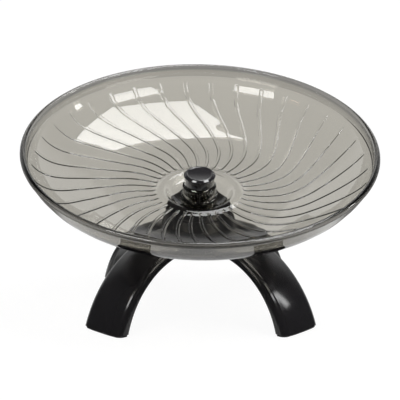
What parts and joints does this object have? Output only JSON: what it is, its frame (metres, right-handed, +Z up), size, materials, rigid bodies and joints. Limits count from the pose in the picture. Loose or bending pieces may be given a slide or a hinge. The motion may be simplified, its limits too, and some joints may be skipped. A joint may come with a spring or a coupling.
{
  "type": "flying saucer wheel",
  "caption": "Open exercise saucer for small pets: a leaning, smoke-clear ribbed dish that spins on ball bearings over a black stand with arched legs.",
  "frame": {"origin": "on the floor, straight under the middle of the dish's rim", "axes": "+Z up, -Y towards the front of the stand, which the dish leans to, +X to the right seen from the front"},
  "size_m": [0.3048, 0.2864, 0.1983],
  "materials": {
    "smoke_clear_plastic": "clear gloss, smoke tint",
    "black_gloss_plastic": "gloss",
    "bright_steel": "bright",
    "nylon_cage": "satin",
    "black_rubber": "matt"
  },
  "bodies": {
    "stand": {"stand": "black_gloss_plastic", "front_left_foot_pad": "black_rubber", "front_right_foot_pad": "black_rubber", "back_left_foot_pad": "black_rubber", "back_right_foot_pad": "black_rubber", "axle_bolt": "bright_steel", "lock_nut": "bright_steel", "top_washer": "bright_steel", "lower_spacer": "bright_steel", "bearing_spacer": "bright_steel", "upper_bearing_inner_ring": "bright_steel", "lower_bearing_inner_ring": "bright_steel"},
    "saucer": {"saucer": "smoke_clear_plastic", "hub_cap": "black_gloss_plastic", "upper_bearing_outer_ring": "bright_steel", "lower_bearing_outer_ring": "bright_steel", "upper_bearing_upper_shield": "bright_steel", "upper_bearing_lower_shield": "bright_steel", "lower_bearing_upper_shield": "bright_steel", "lower_bearing_lower_shield": "bright_steel"},
    "upper_cage": {"upper_bearing_cage": "nylon_cage", "upper_bearing_ball_1": "bright_steel", "upper_bearing_ball_2": "bright_steel", "upper_bearing_ball_3": "bright_steel", "upper_bearing_ball_4": "bright_steel", "upper_bearing_ball_5": "bright_steel", "upper_bearing_ball_6": "bright_steel", "upper_bearing_ball_7": "bright_steel"},
    "lower_cage": {"lower_bearing_cage": "nylon_cage", "lower_bearing_ball_1": "bright_steel", "lower_bearing_ball_2": "bright_steel", "lower_bearing_ball_3": "bright_steel", "lower_bearing_ball_4": "bright_steel", "lower_bearing_ball_5": "bright_steel", "lower_bearing_ball_6": "bright_steel", "lower_bearing_ball_7": "bright_steel"}
  },
  "joints": [
    {"name": "saucer_spin", "type": "hinge", "parent": "stand", "child": "saucer", "pos_m": [0, 0.021, 0.0869], "axis": [0, -0.342, 0.9397], "continuous": true},
    {"name": "upper_cage_orbit", "type": "hinge", "parent": "stand", "child": "upper_cage", "pos_m": [0, 0.021, 0.0869], "axis": [0, -0.342, 0.9397], "continuous": true},
    {"name": "lower_cage_orbit", "type": "hinge", "parent": "stand", "child": "lower_cage", "pos_m": [0, 0.021, 0.0869], "axis": [0, -0.342, 0.9397], "continuous": true}
  ],
  "couplings": [
    {"joint": "upper_cage_orbit", "follows": "saucer_spin", "ratio": 0.632},
    {"joint": "lower_cage_orbit", "follows": "saucer_spin", "ratio": 0.632}
  ]
}
